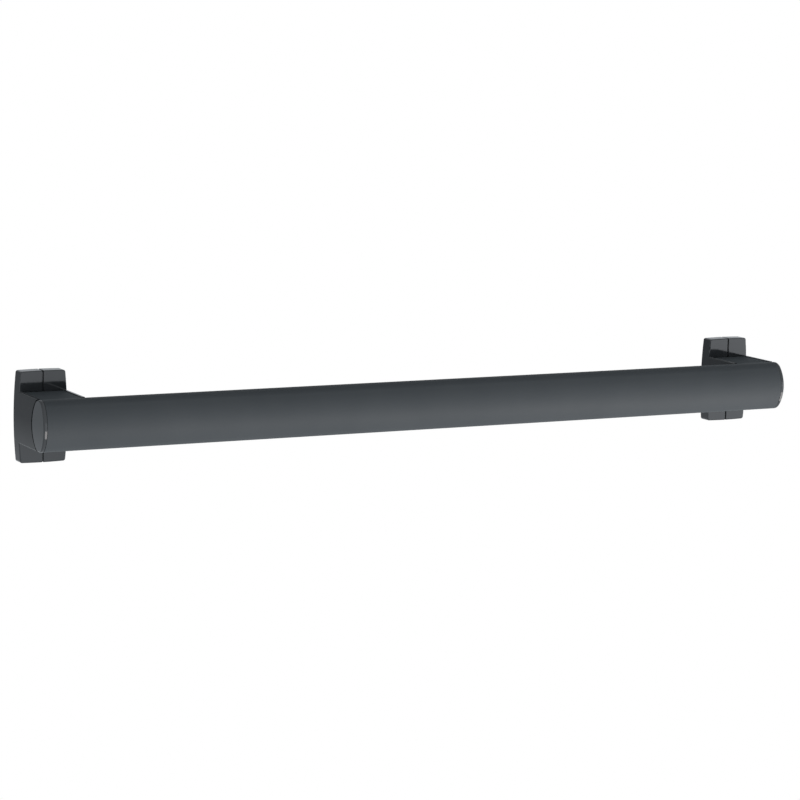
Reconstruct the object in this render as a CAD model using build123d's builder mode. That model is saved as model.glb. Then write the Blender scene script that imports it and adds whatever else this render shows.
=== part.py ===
from build123d import *
import os

# Straight wall grab bar: an oval tube on two cast posts, each closed in by a pair of moulded covers.
# Millimetres. The wall is the plane Y = 0 and the room lies towards -Y. X runs along the bar and Z is up.
# The origin is on the wall, midway between the posts, level with the bar's axis.

# Bar
bar_length = 600.0  # over the end caps
bar_height = 36.0
bar_depth = 24.0
bar_end_radius = 9.0  # of the oval's upper and lower arcs
tube_wall = 3.0
hand_gap = 38.0  # clear space between the wall and the bar

# End caps
cap_rim = 3.0
cap_crown_radius = 300.0  # of the face's slight curve from top to bottom
cap_edge_radius = 1.2
cap_back_chamfer = 0.35
cap_fit = 0.15
cap_leg_wall = 2.0
cap_leg_width = 7.0
cap_leg_length = 13.0

# Collar and arm of each bracket
bracket_inset = 18.2  # from the cap's face to the middle of the bracket
collar_width = 36.0
collar_height = 64.4
collar_depth = 10.0
side_bow = 1.6
end_bow = 0.3
collar_corner_radius = 1.7
arm_height = 35.0  # of the post, so that the bar's top stands a little higher
saddle_setback = 3.6  # the saddle's lips stop this far behind the bar's axis

# Half covers
cover_wall = 2.2
cover_fit = 0.1
cover_bar_gap = 0.55  # above and below the bar
cover_back_gap = 1.5  # behind the bar
cover_setback = 4.5  # the covers stop this far behind the bar's axis
cover_wall_gap = 0.2
cover_arm_gap = 0.25
cover_arm_rise = 0.5  # the covers' cheeks stand this far above and below the post's arm
seam_gap = 0.9
seam_skin = 1.2  # of the wall in front of the lip
seam_lip = 0.8
seam_overlap = 1.5
seam_fit = 0.2
cover_edge_radius = 0.8
seam_edge_radius = 0.3
peg_radius = 2.0
peg_fit = 0.1
peg_length = 3.0
peg_height = 9.0
peg_distance = 20.0  # from the wall

# Post
foot_thickness = 4.0
saddle_gap = 0.1
saddle_wall = 7.0
pocket_width = 24.0
pocket_height = 25.4
pocket_radius = 4.0
wall_screw_radius = 3.25

# Clamp that holds the tube in the saddle
clamp_pitch = 12.0
clamp_hole_radius = 3.3
nut_length = 24.0
nut_height = 18.0
nut_thickness = 8.0
nut_gap = 0.05
screw_radius = 2.95
thread_gap = 0.05
screw_length = 20.0
screw_head_radius = 5.0
screw_head_height = 6.0
screw_socket_width = 5.0
screw_socket_depth = 3.0
screw_edge_chamfer = 0.5
washer_radius = 5.5
washer_hole_radius = 3.2
washer_thickness = 1.6

axis_y = -(hand_gap + bar_depth / 2)
tube_length = bar_length - 2 * cap_rim
bracket_pitch = bar_length - 2 * bracket_inset
bore_depth = bar_depth - 2 * tube_wall
pocket_depth = hand_gap - saddle_wall
arm_reach = -axis_y - saddle_setback
cover_reach = -axis_y - cover_setback
core_inset = cover_wall + cover_fit
tab_start = arm_height / 2 + cover_arm_gap
cheek_height = arm_height + 2 * cover_arm_rise
wall_screw_pitch = (arm_height + collar_height) / 2 - core_inset
select_tolerance = 0.01  # for picking faces by their place


def bar_section(x, growth, depth_growth):
    """The bar's oval of four arcs at x, larger all round by growth in height and depth_growth in depth."""
    half_depth = bar_depth / 2 + depth_growth
    end_radius = bar_end_radius + growth
    end_centre = bar_height / 2 - bar_end_radius
    side_radius = (end_centre**2 + half_depth**2 - end_radius**2) / (2 * (half_depth - end_radius))
    end_share = end_radius / (side_radius - end_radius)
    join_y = (side_radius - half_depth) * end_share
    join_z = end_centre + end_centre * end_share
    front = axis_y - half_depth
    back = axis_y + half_depth
    top = end_centre + end_radius
    with BuildSketch(Plane.YZ.offset(x)) as section:
        with BuildLine():
            ThreePointArc((axis_y - join_y, join_z), (axis_y, top), (axis_y + join_y, join_z))
            ThreePointArc((axis_y + join_y, join_z), (back, 0), (axis_y + join_y, -join_z))
            ThreePointArc((axis_y + join_y, -join_z), (axis_y, -top), (axis_y - join_y, -join_z))
            ThreePointArc((axis_y - join_y, -join_z), (front, 0), (axis_y - join_y, join_z))
        make_face()
    return section.sketch


def collar_outline(plane, inset, height, edge_radius=0):
    """The collar's bowed outline, drawn in by inset and cut to a middle band with rounded corners."""
    half_width = collar_width / 2 - inset
    half_height = collar_height / 2 - inset
    corner_x = half_width - side_bow
    corner_z = half_height - end_bow
    with BuildSketch(plane) as outline:
        with BuildLine():
            ThreePointArc((corner_x, -corner_z), (half_width, 0), (corner_x, corner_z))
            ThreePointArc((corner_x, corner_z), (0, half_height), (-corner_x, corner_z))
            ThreePointArc((-corner_x, corner_z), (-half_width, 0), (-corner_x, -corner_z))
            ThreePointArc((-corner_x, -corner_z), (0, -half_height), (corner_x, -corner_z))
        make_face()
        fillet(outline.vertices(), collar_corner_radius)
        Rectangle(collar_width, height, mode=Mode.INTERSECT)
        if edge_radius:
            fillet(outline.vertices(), edge_radius)
    return outline.sketch


def seam_section(x, skin, depth, margin):
    """The angled strip behind a seam, from skin to depth under the surface and this margin off its ends."""
    tab_end = collar_height / 2
    wall_side = -cover_wall_gap - margin
    arm_side = tab_start + margin
    with BuildSketch(Plane.YZ.offset(x)) as section:
        with BuildLine():
            Polyline(
                (skin - collar_depth, arm_side),
                (skin - collar_depth, tab_end - skin),
                (wall_side, tab_end - skin),
                (wall_side, tab_end - depth),
                (depth - collar_depth, tab_end - depth),
                (depth - collar_depth, arm_side),
                close=True,
            )
        make_face()
        mirror(about=Plane.XZ)
    return section.sketch


os.makedirs("parts", exist_ok=True)

# The tube is one extrusion, drilled at the back for the clamp screws.
with BuildPart() as bar_tube:
    extrude(bar_section(-tube_length / 2, 0, 0), amount=tube_length)
    extrude(bar_section(-tube_length / 2, -tube_wall, -tube_wall), amount=tube_length, mode=Mode.SUBTRACT)
    with BuildSketch(Plane.XZ.offset(-axis_y - bar_depth / 2)):
        with GridLocations(bracket_pitch, 0, 2, 1):
            with GridLocations(clamp_pitch, 0, 2, 1):
                Circle(clamp_hole_radius)
    extrude(amount=bar_depth / 2, mode=Mode.SUBTRACT)
bar_tube.part.label = "bar_tube"
export_step(bar_tube.part, "parts/bar_tube.step")

for side, outward in (("left", -1), ("right", 1)):
    centre_x = outward * bracket_pitch / 2
    wall_plane = Plane((centre_x, 0, 0), x_dir=(1, 0, 0), z_dir=(0, -1, 0))
    saddle_start = centre_x - collar_width / 2

    # The post is cast in one with its foot and has an open pocket towards the wall.
    with BuildPart() as post:
        extrude(collar_outline(wall_plane, core_inset, collar_height), amount=foot_thickness)
        extrude(collar_outline(wall_plane, core_inset, arm_height), amount=arm_reach)
        extrude(bar_section(saddle_start, saddle_gap, saddle_gap), amount=collar_width, mode=Mode.SUBTRACT)
        with BuildSketch(wall_plane):
            RectangleRounded(pocket_width, pocket_height, pocket_radius)
        extrude(amount=pocket_depth, mode=Mode.SUBTRACT)
        with BuildSketch(wall_plane.offset(pocket_depth)):
            with GridLocations(clamp_pitch, 0, 2, 1):
                Circle(clamp_hole_radius)
        extrude(amount=bar_depth, mode=Mode.SUBTRACT)
        with BuildSketch(wall_plane):
            with GridLocations(0, wall_screw_pitch, 1, 2):
                Circle(wall_screw_radius)
        extrude(amount=foot_thickness, mode=Mode.SUBTRACT)
        with BuildSketch(Plane.YZ.offset(saddle_start)):
            with Locations((-peg_distance, 0)):
                with GridLocations(0, 2 * peg_height, 1, 2):
                    Circle(peg_radius + peg_fit)
        extrude(amount=collar_width, mode=Mode.SUBTRACT)
    post.part.label = f"{side}_post"
    export_step(post.part, f"parts/{side}_post.step")

    # Two covers close on the post from the sides. At the seam down each tab, a lip on the outer cover
    # lies in a rebate of the inner one, so that nothing shows through.
    for place, facing in (("outer", outward), ("inner", -outward)):
        cover_plane = wall_plane.offset(cover_wall_gap)
        tab_back = wall_plane.offset(collar_depth - cover_wall)
        seam_x = centre_x + facing * seam_gap / 2
        seam_plane = Plane((seam_x, 0, 0), z_dir=(facing, 0, 0))
        tab_front = (-collar_depth - select_tolerance, -collar_depth + select_tolerance)
        with BuildPart() as cover:
            extrude(collar_outline(cover_plane, 0, collar_height), amount=collar_depth - cover_wall_gap)
            fillet(cover.faces().sort_by(Axis.Y)[0].edges(), cover_edge_radius)
            extrude(
                collar_outline(cover_plane, cover_wall, collar_height),
                amount=collar_depth - cover_wall_gap - cover_wall,
                mode=Mode.SUBTRACT,
            )
            cheeks = collar_outline(tab_back, 0, cheek_height, cover_edge_radius)
            extrude(cheeks, amount=cover_reach + cover_wall - collar_depth)
            extrude(
                collar_outline(cover_plane, cover_wall, arm_height + 2 * cover_arm_gap),
                amount=arm_reach,
                mode=Mode.SUBTRACT,
            )
            extrude(
                collar_outline(wall_plane.offset(collar_depth), cover_wall, collar_height),
                amount=arm_reach,
                mode=Mode.SUBTRACT,
            )
            split(bisect_by=seam_plane, keep=Keep.TOP)
            seam_rim = cover.faces().filter_by_position(Axis.Y, *tab_front).edges().filter_by(Axis.Z)
            fillet(seam_rim, seam_edge_radius)
            bar_clearance = bar_section(saddle_start, cover_bar_gap, cover_back_gap)
            extrude(bar_clearance, amount=collar_width, mode=Mode.SUBTRACT)
            if place == "outer":
                lip = seam_section(seam_x, seam_skin, seam_skin + seam_lip, seam_fit)
                extrude(lip, amount=-facing * (seam_gap + seam_overlap))
            else:
                rebate = seam_section(seam_x, seam_skin - seam_fit, 2 * cover_wall, -seam_fit)
                extrude(rebate, amount=facing * (seam_overlap + seam_fit), mode=Mode.SUBTRACT)
            with BuildSketch(Plane.YZ.offset(centre_x + facing * (collar_width - cover_wall) / 2)):
                with Locations((-peg_distance, 0)):
                    with GridLocations(0, 2 * peg_height, 1, 2):
                        Circle(peg_radius)
            extrude(amount=-facing * (cover_wall / 2 + peg_length))
        cover.part.label = f"{side}_{place}_cover"
        export_step(cover.part, f"parts/{side}_{place}_cover.step")

    # The cap's rim continues the tube's outline, and two sprung legs hold it in the bore.
    with BuildPart() as end_cap:
        tube_end = outward * tube_length / 2
        leg_growth = -tube_wall - cap_fit
        bore_growth = leg_growth - cap_leg_wall
        extrude(bar_section(tube_end, leg_growth, leg_growth), amount=-outward * cap_leg_length)
        extrude(
            bar_section(tube_end, bore_growth, bore_growth),
            amount=-outward * cap_leg_length,
            mode=Mode.SUBTRACT,
        )
        with BuildSketch(Plane.YZ.offset(tube_end)):
            with Locations((axis_y, 0)):
                Rectangle(cap_leg_width, bar_height)
        extrude(amount=-outward * cap_leg_length, mode=Mode.INTERSECT)
        extrude(bar_section(tube_end, 0, 0), amount=outward * cap_rim)
        crown_centre = outward * (bar_length / 2 - cap_crown_radius)
        with BuildSketch(Plane.XZ.offset(-axis_y - bar_depth)):
            with Locations((crown_centre, 0)):
                Circle(cap_crown_radius)
        extrude(amount=2 * bar_depth, mode=Mode.INTERSECT)
        crown = end_cap.faces().sort_by(lambda face: outward * face.center().X)[-1]
        fillet(crown.outer_wire().edges(), cap_edge_radius)
        rim_back = end_cap.faces().filter_by(Axis.X).sort_by(SortBy.AREA)[-1]
        chamfer(rim_back.outer_wire().edges(), cap_back_chamfer)
    end_cap.part.label = f"{side}_end_cap"
    export_step(end_cap.part, f"parts/{side}_end_cap.step")

    # A tapped bar lies against the back of the bore and takes the clamp screws.
    with BuildPart() as clamp_nut:
        nut_start = centre_x - nut_length / 2
        nut_growth = -tube_wall - nut_gap
        extrude(bar_section(nut_start, nut_growth, nut_growth), amount=nut_length)
        with BuildSketch(Plane.YZ.offset(nut_start)):
            with Locations((axis_y + bore_depth / 2, 0)):
                Rectangle(2 * nut_thickness, nut_height)
        extrude(amount=nut_length, mode=Mode.INTERSECT)
        with BuildSketch(wall_plane.offset(hand_gap)):
            with GridLocations(clamp_pitch, 0, 2, 1):
                Circle(screw_radius + thread_gap)
        extrude(amount=bar_depth, mode=Mode.SUBTRACT)
    clamp_nut.part.label = f"{side}_clamp_nut"
    export_step(clamp_nut.part, f"parts/{side}_clamp_nut.step")

    # Washers sit on the pocket's floor, under the heads of the socket screws.
    head_seat = pocket_depth - washer_thickness
    with BuildPart() as clamp_washers:
        with BuildSketch(wall_plane.offset(head_seat)):
            with GridLocations(clamp_pitch, 0, 2, 1):
                Circle(washer_radius)
                Circle(washer_hole_radius, mode=Mode.SUBTRACT)
        extrude(amount=washer_thickness)
    clamp_washers.part.label = f"{side}_clamp_washers"
    export_step(clamp_washers.part, f"parts/{side}_clamp_washers.step")

    with BuildPart() as clamp_screws:
        with BuildSketch(wall_plane.offset(head_seat)):
            with GridLocations(clamp_pitch, 0, 2, 1):
                Circle(screw_head_radius)
        extrude(amount=-screw_head_height)
        chamfer(clamp_screws.edges().group_by(Axis.Y)[-1], screw_edge_chamfer)
        with BuildSketch(wall_plane.offset(head_seat)):
            with GridLocations(clamp_pitch, 0, 2, 1):
                Circle(screw_radius)
        extrude(amount=screw_length)
        chamfer(clamp_screws.edges().group_by(Axis.Y)[0], screw_edge_chamfer)
        with BuildSketch(wall_plane.offset(head_seat - screw_head_height)):
            with GridLocations(clamp_pitch, 0, 2, 1):
                RegularPolygon(screw_socket_width / 2, 6, major_radius=False)
        extrude(amount=screw_socket_depth, mode=Mode.SUBTRACT)
    clamp_screws.part.label = f"{side}_clamp_screws"
    export_step(clamp_screws.part, f"parts/{side}_clamp_screws.step")
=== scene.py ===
import math

import bmesh
import bpy
from mathutils import Matrix, Vector


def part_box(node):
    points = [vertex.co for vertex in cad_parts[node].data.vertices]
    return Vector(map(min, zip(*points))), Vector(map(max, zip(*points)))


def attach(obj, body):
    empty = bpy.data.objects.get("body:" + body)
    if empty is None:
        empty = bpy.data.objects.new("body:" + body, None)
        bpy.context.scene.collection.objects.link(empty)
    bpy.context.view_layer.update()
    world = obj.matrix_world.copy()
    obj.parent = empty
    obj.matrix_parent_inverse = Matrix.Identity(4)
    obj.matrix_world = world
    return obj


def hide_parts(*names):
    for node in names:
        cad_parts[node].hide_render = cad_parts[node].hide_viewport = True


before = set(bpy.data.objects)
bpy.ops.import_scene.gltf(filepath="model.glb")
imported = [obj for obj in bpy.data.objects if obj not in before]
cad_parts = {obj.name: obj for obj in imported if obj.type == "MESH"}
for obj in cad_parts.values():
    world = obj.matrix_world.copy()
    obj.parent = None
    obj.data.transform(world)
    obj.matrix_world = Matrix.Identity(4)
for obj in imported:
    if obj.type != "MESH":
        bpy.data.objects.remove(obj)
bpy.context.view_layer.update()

# Posts: two aluminium castings with a foot on the wall, an open pocket behind and a saddle for the
# bar. They are shot-blasted and powder-coated in anthracite, so the coat follows a fine cast grain.
# Each is screwed to the wall through the two holes in its foot.
sides = ("left", "right")
patch_detail, patch_edges = 3.0, (0.35, 0.65)
grain_detail, grain_span, grain_strength = 4.0, (0.3, 0.7), 0.5


def map_range(tree, value, start, end, low, high):
    """A Map Range node from start..end to low..high, where low and high are numbers or sockets."""
    node = tree.nodes.new("ShaderNodeMapRange")
    tree.links.new(value, node.inputs["Value"])
    node.inputs["From Min"].default_value = start
    node.inputs["From Max"].default_value = end
    for label, given_level in (("To Min", low), ("To Max", high)):
        if isinstance(given_level, bpy.types.NodeSocket):
            tree.links.new(given_level, node.inputs[label])
        else:
            node.inputs[label].default_value = given_level
    return node


def grained_finish(name, dark, light, roughness, patch_scale, grain_scale, grain_height):
    """A finish with soft patches of colour and a fine grain, both on Object coordinates."""
    finish = bpy.data.materials.new(name)
    finish.use_nodes = True
    tree = finish.node_tree
    nodes, links = tree.nodes, tree.links
    shader = nodes["Principled BSDF"]
    coordinates = nodes.new("ShaderNodeTexCoord")
    patches = nodes.new("ShaderNodeTexNoise")
    patches.inputs["Scale"].default_value = patch_scale
    patches.inputs["Detail"].default_value = patch_detail
    links.new(coordinates.outputs["Object"], patches.inputs["Vector"])
    tint = nodes.new("ShaderNodeValToRGB")
    for stop, edge, colour in zip(tint.color_ramp.elements, patch_edges, (dark, light)):
        stop.position = edge
        stop.color = (*colour, 1.0)
    links.new(patches.outputs["Fac"], tint.inputs["Fac"])
    links.new(tint.outputs["Color"], shader.inputs["Base Color"])
    grain = nodes.new("ShaderNodeTexNoise")
    grain.inputs["Scale"].default_value = grain_scale
    grain.inputs["Detail"].default_value = grain_detail
    links.new(coordinates.outputs["Object"], grain.inputs["Vector"])
    sheen = map_range(tree, grain.outputs["Fac"], *grain_span, *roughness)
    links.new(sheen.outputs["Result"], shader.inputs["Roughness"])
    relief = nodes.new("ShaderNodeBump")
    relief.inputs["Strength"].default_value = grain_strength
    relief.inputs["Distance"].default_value = grain_height
    links.new(grain.outputs["Fac"], relief.inputs["Height"])
    links.new(relief.outputs["Normal"], shader.inputs["Normal"])
    return finish, shader


def dress(name, finish):
    """Give the CAD piece of this name one finish all over."""
    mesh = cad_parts[name].data
    mesh.materials.clear()
    mesh.materials.append(finish)


cast_coat, cast_shader = grained_finish(
    "cast_coat", (0.068, 0.076, 0.081), (0.078, 0.087, 0.092), (0.60, 0.72), 60.0, 1400.0, 0.00006
)
cast_shader.inputs["Specular IOR Level"].default_value = 0.04
for side in sides:
    dress(f"{side}_post", cast_coat)

# Clamp nuts and washers: a tapped steel bar lies in the tube behind each saddle, and flat washers
# sit on the floor of the post's pocket. Both are zinc-plated, with the faint clouding of a barrel
# plating.
zinc_plate, zinc_shader = grained_finish(
    "zinc_plate", (0.50, 0.50, 0.48), (0.60, 0.60, 0.59), (0.28, 0.40), 220.0, 2600.0, 0.00002
)
zinc_shader.inputs["Metallic"].default_value = 1.0
for side in sides:
    for piece in ("clamp_nut", "clamp_washers"):
        dress(f"{side}_{piece}", zinc_plate)

# Clamp screws: two M6 socket-head screws in each pocket pull the tapped bar, and the tube with it,
# into the saddle. They are cold-headed steel with a hexagon socket, a knurled head and a rolled
# thread.
clamp_pitch, clamp_count = 0.012, 2
head_radius, head_height, head_chamfer = 0.005, 0.006, 0.0005
socket_apothem, socket_depth, socket_corners = 0.0025, 0.003, 6
crest_radius, root_radius, thread_pitch = 0.00293, 0.00245, 0.001
thread_start, thread_stop = 0.001, 0.001
thread_steps, thread_flanks = 20, 4
rib_radius, rib_count, rib_corners, rib_depth = 0.0003, 44, 6, 0.00045
barrel_radius = head_radius - rib_depth
knurl_length, knurl_middle = 0.0048, 0.55
ring_points = 48
sharp_angle = math.radians(35)
lay_along_y = (math.pi / 2, 0.0, 0.0)


def screw_body(shank_length):
    """One screw without knurl and thread: head towards +Y, its underside at the origin."""
    mesh = bmesh.new()

    def ring(y, radius, corners=0):
        points = []
        for step in range(ring_points):
            angle = 2 * math.pi * step / ring_points
            reach = radius
            if corners:
                sector = math.pi / corners
                reach = radius / math.cos((angle + sector) % (2 * sector) - sector)
            points.append(mesh.verts.new((reach * math.cos(angle), y, reach * math.sin(angle))))
        return points

    rings = [
        ring(head_height - socket_depth, socket_apothem, socket_corners),
        ring(head_height, socket_apothem, socket_corners),
        ring(head_height, barrel_radius - head_chamfer),
        ring(head_height - head_chamfer, barrel_radius),
        ring(0.0, barrel_radius),
        ring(0.0, root_radius),
        ring(head_chamfer - shank_length, root_radius),
        ring(-shank_length, root_radius - head_chamfer),
    ]
    for first, second in zip(rings, rings[1:]):
        for step in range(ring_points):
            after = (step + 1) % ring_points
            mesh.faces.new((first[step], first[after], second[after], second[step]))
    mesh.faces.new(rings[0])
    mesh.faces.new(rings[-1])
    bmesh.ops.recalc_face_normals(mesh, faces=mesh.faces)
    body = bpy.data.meshes.new("clamp_screw_body")
    mesh.to_mesh(body)
    mesh.free()
    return body


screw_tree = bpy.data.node_groups.new("clamp_screw_pair", "GeometryNodeTree")
screw_tree.interface.new_socket("Geometry", in_out="INPUT", socket_type="NodeSocketGeometry")
screw_inputs = {}
for label, kind in (
    ("Clamp Pitch", "NodeSocketFloat"),
    ("Knurl Radius", "NodeSocketFloat"),
    ("Knurl Length", "NodeSocketFloat"),
    ("Rib Count", "NodeSocketInt"),
    ("Rib Radius", "NodeSocketFloat"),
    ("Thread Turns", "NodeSocketFloat"),
    ("Thread Radius", "NodeSocketFloat"),
    ("Thread Height", "NodeSocketFloat"),
    ("Thread Length", "NodeSocketFloat"),
    ("Plating", "NodeSocketMaterial"),
):
    socket = screw_tree.interface.new_socket(label, in_out="INPUT", socket_type=kind)
    screw_inputs[label] = socket.identifier
screw_tree.interface.new_socket("Geometry", in_out="OUTPUT", socket_type="NodeSocketGeometry")
nodes, links = screw_tree.nodes, screw_tree.links
given = nodes.new("NodeGroupInput")
result = nodes.new("NodeGroupOutput")

rib_ring = nodes.new("GeometryNodeMeshCircle")
links.new(given.outputs["Rib Count"], rib_ring.inputs["Vertices"])
links.new(given.outputs["Knurl Radius"], rib_ring.inputs["Radius"])
rib = nodes.new("GeometryNodeMeshCylinder")
rib.inputs["Vertices"].default_value = rib_corners
links.new(given.outputs["Rib Radius"], rib.inputs["Radius"])
links.new(given.outputs["Knurl Length"], rib.inputs["Depth"])
ribs = nodes.new("GeometryNodeInstanceOnPoints")
links.new(rib_ring.outputs["Mesh"], ribs.inputs["Points"])
links.new(rib.outputs["Mesh"], ribs.inputs["Instance"])
rib_rise = nodes.new("ShaderNodeMath")
rib_rise.operation = "MULTIPLY"
rib_rise.inputs[1].default_value = knurl_middle
links.new(given.outputs["Knurl Length"], rib_rise.inputs[0])
rib_place = nodes.new("ShaderNodeCombineXYZ")
links.new(rib_rise.outputs["Value"], rib_place.inputs["Y"])
head_knurl = nodes.new("GeometryNodeTransform")
head_knurl.inputs["Rotation"].default_value = lay_along_y
links.new(ribs.outputs["Instances"], head_knurl.inputs["Geometry"])
links.new(rib_place.outputs["Vector"], head_knurl.inputs["Translation"])

helix = nodes.new("GeometryNodeCurveSpiral")
helix.inputs["Resolution"].default_value = thread_steps
links.new(given.outputs["Thread Turns"], helix.inputs["Rotations"])
links.new(given.outputs["Thread Radius"], helix.inputs["Start Radius"])
links.new(given.outputs["Thread Radius"], helix.inputs["End Radius"])
links.new(given.outputs["Thread Length"], helix.inputs["Height"])
flank = nodes.new("GeometryNodeCurvePrimitiveCircle")
flank.inputs["Resolution"].default_value = thread_flanks
links.new(given.outputs["Thread Height"], flank.inputs["Radius"])
thread = nodes.new("GeometryNodeCurveToMesh")
thread.inputs["Fill Caps"].default_value = True
links.new(helix.outputs["Curve"], thread.inputs["Curve"])
links.new(flank.outputs["Curve"], thread.inputs["Profile Curve"])
rolled_thread = nodes.new("GeometryNodeTransform")
rolled_thread.inputs["Rotation"].default_value = lay_along_y
rolled_thread.inputs["Translation"].default_value = (0.0, -thread_start, 0.0)
links.new(thread.outputs["Mesh"], rolled_thread.inputs["Geometry"])

screw = nodes.new("GeometryNodeJoinGeometry")
links.new(given.outputs["Geometry"], screw.inputs["Geometry"])
links.new(head_knurl.outputs["Geometry"], screw.inputs["Geometry"])
links.new(rolled_thread.outputs["Geometry"], screw.inputs["Geometry"])
spacing = nodes.new("ShaderNodeCombineXYZ")
links.new(given.outputs["Clamp Pitch"], spacing.inputs["X"])
half_pitch = nodes.new("ShaderNodeMath")
half_pitch.operation = "MULTIPLY"
half_pitch.inputs[1].default_value = -0.5
links.new(given.outputs["Clamp Pitch"], half_pitch.inputs[0])
first_place = nodes.new("ShaderNodeCombineXYZ")
links.new(half_pitch.outputs["Value"], first_place.inputs["X"])
pair = nodes.new("GeometryNodeMeshLine")
pair.inputs["Count"].default_value = clamp_count
links.new(first_place.outputs["Vector"], pair.inputs["Start Location"])
links.new(spacing.outputs["Vector"], pair.inputs["Offset"])
both = nodes.new("GeometryNodeInstanceOnPoints")
links.new(pair.outputs["Mesh"], both.inputs["Points"])
links.new(screw.outputs["Geometry"], both.inputs["Instance"])
realized = nodes.new("GeometryNodeRealizeInstances")
links.new(both.outputs["Instances"], realized.inputs["Geometry"])
plated = nodes.new("GeometryNodeSetMaterial")
links.new(realized.outputs["Geometry"], plated.inputs["Geometry"])
links.new(given.outputs["Plating"], plated.inputs["Material"])
links.new(plated.outputs["Geometry"], result.inputs["Geometry"])

for side in sides:
    low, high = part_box(f"{side}_clamp_screws")
    shank_length = high[1] - low[1] - head_height
    thread_length = shank_length - thread_start - thread_stop
    screws = bpy.data.objects.new(f"{side}_socket_screws", screw_body(shank_length))
    bpy.context.scene.collection.objects.link(screws)
    maker = screws.modifiers.new("clamp_screw_pair", "NODES")
    maker.node_group = screw_tree
    for label, value in (
        ("Clamp Pitch", clamp_pitch),
        ("Knurl Radius", head_radius - rib_radius),
        ("Knurl Length", knurl_length),
        ("Rib Count", rib_count),
        ("Rib Radius", rib_radius),
        ("Thread Turns", thread_length / thread_pitch),
        ("Thread Radius", root_radius),
        ("Thread Height", crest_radius - root_radius),
        ("Thread Length", thread_length),
        ("Plating", zinc_plate),
    ):
        maker[screw_inputs[label]] = value
    graph = bpy.context.evaluated_depsgraph_get()
    made = bpy.data.meshes.new_from_object(screws.evaluated_get(graph))
    screws.modifiers.remove(maker)
    screws.data = made
    made.transform(Matrix.Translation(((low[0] + high[0]) / 2, high[1] - head_height, 0.0)))
    made.shade_smooth()
    made.set_sharp_from_angle(angle=sharp_angle)
    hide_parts(f"{side}_clamp_screws")
    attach(screws, "root")

# Bar: one extruded aluminium tube of oval section, drilled behind for the clamp screws. It has a
# satin powder coat in anthracite, fine enough that only a soft sheen shows at arm's length.
bar_coat, bar_shader = grained_finish(
    "bar_coat", (0.058, 0.065, 0.070), (0.063, 0.070, 0.075), (0.50, 0.58), 24.0, 2600.0, 0.00003
)
bar_shader.inputs["Specular IOR Level"].default_value = 0.12
dress("bar_tube", bar_coat)

# Covers: two injection-moulded halves close round each post and hold by pegs in its sides.
# They come from a polished mould, so the dark plastic has a mirror gloss with a slight ripple.
cover_names = [f"{side}_{half}_cover" for side in sides for half in ("outer", "inner")]
cover_gloss, _ = grained_finish(
    "cover_gloss", (0.032, 0.035, 0.038), (0.035, 0.038, 0.041), (0.05, 0.09), 90.0, 160.0, 0.00001
)
for name in cover_names:
    dress(name, cover_gloss)

# End caps: moulded plugs with a slightly crowned face, pressed into the tube's ends by two sprung
# legs. The rim is polished like the covers, and the face is a lighter half-gloss from a fine mould
# texture.
cap_gloss, cap_shader = grained_finish(
    "cap_gloss", (0.022, 0.025, 0.028), (0.025, 0.028, 0.031), (0.08, 0.12), 120.0, 900.0, 0.000004
)
face_colour = (0.108, 0.115, 0.121, 1.0)
rim_tilt, face_tilt = 0.85, 0.97
cap_tree = cap_gloss.node_tree
nodes, links = cap_tree.nodes, cap_tree.links
cap_side = nodes.new("ShaderNodeTexCoord")
end_ward = nodes.new("ShaderNodeSeparateXYZ")
links.new(cap_side.outputs["Normal"], end_ward.inputs["Vector"])
either_end = nodes.new("ShaderNodeMath")
either_end.operation = "ABSOLUTE"
links.new(end_ward.outputs["X"], either_end.inputs[0])
on_face = map_range(cap_tree, either_end.outputs["Value"], rim_tilt, face_tilt, 0.0, 1.0)
cap_tint = nodes.new("ShaderNodeMix")
cap_tint.data_type = "RGBA"
cap_tint.inputs["B"].default_value = face_colour
links.new(on_face.outputs["Result"], cap_tint.inputs["Factor"])
links.new(cap_shader.inputs["Base Color"].links[0].from_socket, cap_tint.inputs["A"])
links.new(cap_tint.outputs["Result"], cap_shader.inputs["Base Color"])
for side in sides:
    dress(f"{side}_end_cap", cap_gloss)

# Studio: the room is plain white to the camera. In reflections it is white in front, light grey
# behind and dark grey behind on the left. For soft light it is brighter below than above, as over
# a bright floor.
white, light_grey = 1.0, 0.62
dark_grey_below, dark_grey_above = 0.76, 0.19
soft_below, soft_above = 0.74, 0.28
dark_heading, dark_edge, dark_heights = (-0.454, 0.891, 0.0), (0.80, 0.96), (-0.30, -0.15)
back_span, soft_heights = (-0.2, 0.5), (-0.5, 0.6)
day_colour, plain_white = (0.95, 1.0, 1.05, 1.0), (1.0, 1.0, 1.0, 1.0)
studio = bpy.data.worlds.new("studio")
bpy.context.scene.world = studio
studio.use_nodes = True
room = studio.node_tree
nodes, links = room.nodes, room.links
background = nodes["Background"]
direction = nodes.new("ShaderNodeTexCoord")
heading = nodes.new("ShaderNodeSeparateXYZ")
links.new(direction.outputs["Generated"], heading.inputs["Vector"])
towards_dark = nodes.new("ShaderNodeVectorMath")
towards_dark.operation = "DOT_PRODUCT"
towards_dark.inputs[1].default_value = dark_heading
links.new(direction.outputs["Generated"], towards_dark.inputs[0])
dark_level = map_range(
    room, heading.outputs["Z"], *dark_heights, dark_grey_below, dark_grey_above
)
back_level = map_range(room, heading.outputs["Y"], *back_span, white, light_grey)
mirror_level = map_range(
    room,
    towards_dark.outputs["Value"],
    *dark_edge,
    back_level.outputs["Result"],
    dark_level.outputs["Result"],
)
mirror_level.interpolation_type = "SMOOTHSTEP"
soft_level = map_range(room, heading.outputs["Z"], *soft_heights, soft_below, soft_above)
rays = nodes.new("ShaderNodeLightPath")
mirrored = nodes.new("ShaderNodeMath")
mirrored.operation = "MAXIMUM"
links.new(rays.outputs["Is Glossy Ray"], mirrored.inputs[0])
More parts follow.
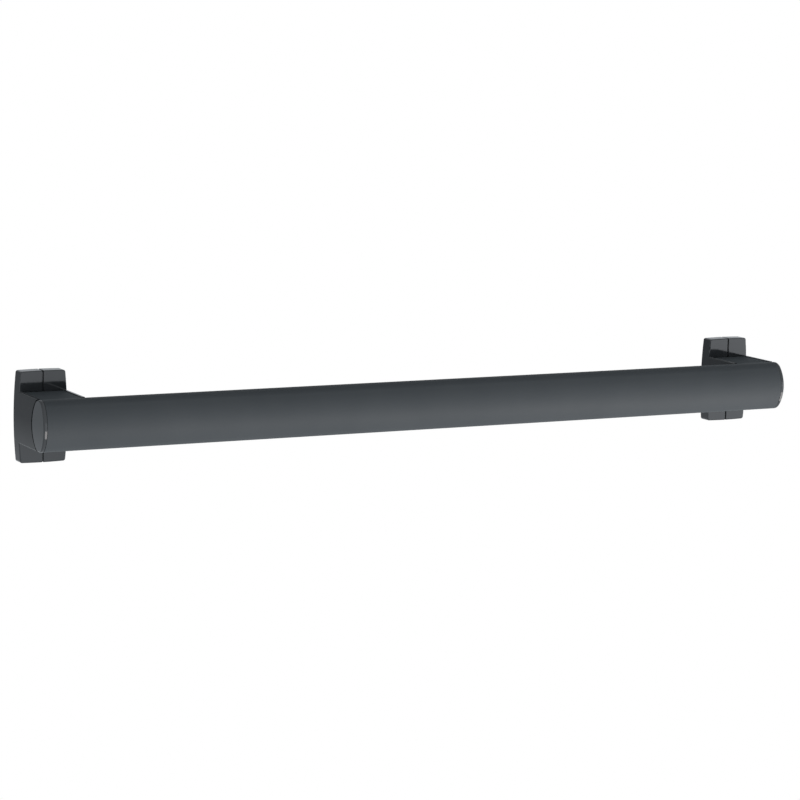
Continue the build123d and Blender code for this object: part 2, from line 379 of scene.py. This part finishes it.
links.new(rays.outputs["Is Transmission Ray"], mirrored.inputs[1])
unseen = nodes.new("ShaderNodeMix")
links.new(mirrored.outputs["Value"], unseen.inputs["Factor"])
links.new(soft_level.outputs["Result"], unseen.inputs["A"])
links.new(mirror_level.outputs["Result"], unseen.inputs["B"])
strength = nodes.new("ShaderNodeMix")
strength.inputs["B"].default_value = white
links.new(rays.outputs["Is Camera Ray"], strength.inputs["Factor"])
links.new(unseen.outputs["Result"], strength.inputs["A"])
links.new(strength.outputs["Result"], background.inputs["Strength"])
day_tint = nodes.new("ShaderNodeMix")
day_tint.data_type = "RGBA"
day_tint.inputs["A"].default_value = day_colour
day_tint.inputs["B"].default_value = plain_white
links.new(rays.outputs["Is Camera Ray"], day_tint.inputs["Factor"])
links.new(day_tint.outputs["Result"], background.inputs["Color"])

# Two softboxes stand side by side in front, the right one brighter: they are the bright fields in
# the gloss of the covers. A third lies low in front on the right and lights the bar's lower front,
# with a flag that keeps its glare off the covers.
flagged_off = bpy.data.collections.new("flagged_off")
for name in cover_names:
    flagged_off.objects.link(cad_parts[name])
for member in flagged_off.collection_objects:
    member.light_linking.link_state = "EXCLUDE"
for label, place, width, height, radiance, tint, flag in (
    ("front_softbox_left", (0.42, -2.6, -0.25), 1.15, 1.3, 0.56, (0.94, 0.98, 1.04), None),
    ("front_softbox_right", (1.75, -2.05, -0.25), 1.55, 1.3, 1.20, (0.95, 0.98, 1.03), None),
    ("low_softbox", (0.95, -1.15, -0.95), 2.6, 0.8, 4.3, (1.04, 0.99, 0.97), flagged_off),
):
    lamp = bpy.data.lights.new(label, "AREA")
    lamp.shape = "RECTANGLE"
    lamp.size, lamp.size_y = width, height
    lamp.energy = radiance * math.pi * width * height
    lamp.color = tint
    softbox = bpy.data.objects.new(label, lamp)
    softbox.visible_camera = False
    softbox.light_linking.receiver_collection = flag
    bpy.context.scene.collection.objects.link(softbox)
    turn = Vector(place).to_track_quat("Z", "Y").to_matrix().to_4x4()
    softbox.matrix_world = Matrix.Translation(place) @ turn

# Camera: to the left of the bar's middle and a little above it, with a long lens and a slight roll.
azimuth, elevation, roll = math.radians(-27.08), math.radians(8.45), math.radians(1.14)
distance, focal_pixels, picture_pixels, sensor_width = 2.02776, 2816.91, 800, 36.0
target = Vector((-0.02527, -0.05, 0.00446))
level_reach = math.cos(elevation)
back = Vector(
    (math.sin(azimuth) * level_reach, -math.cos(azimuth) * level_reach, math.sin(elevation))
)
right = (-back).cross(Vector((0.0, 0.0, 1.0))).normalized()
up = right.cross(-back)
rolled_right = right * math.cos(roll) + up * math.sin(roll)
rolled_up = up * math.cos(roll) - right * math.sin(roll)
camera_data = bpy.data.cameras.new("photo_camera")
camera_data.sensor_width = sensor_width
camera_data.lens = focal_pixels * sensor_width / picture_pixels
camera = bpy.data.objects.new("photo_camera", camera_data)
bpy.context.scene.collection.objects.link(camera)
camera_place = Matrix((rolled_right, rolled_up, back)).transposed().to_4x4()
camera_place.translation = target + back * distance
camera.matrix_world = camera_place
bpy.context.scene.camera = camera
bpy.context.scene.view_settings.view_transform = "Standard"
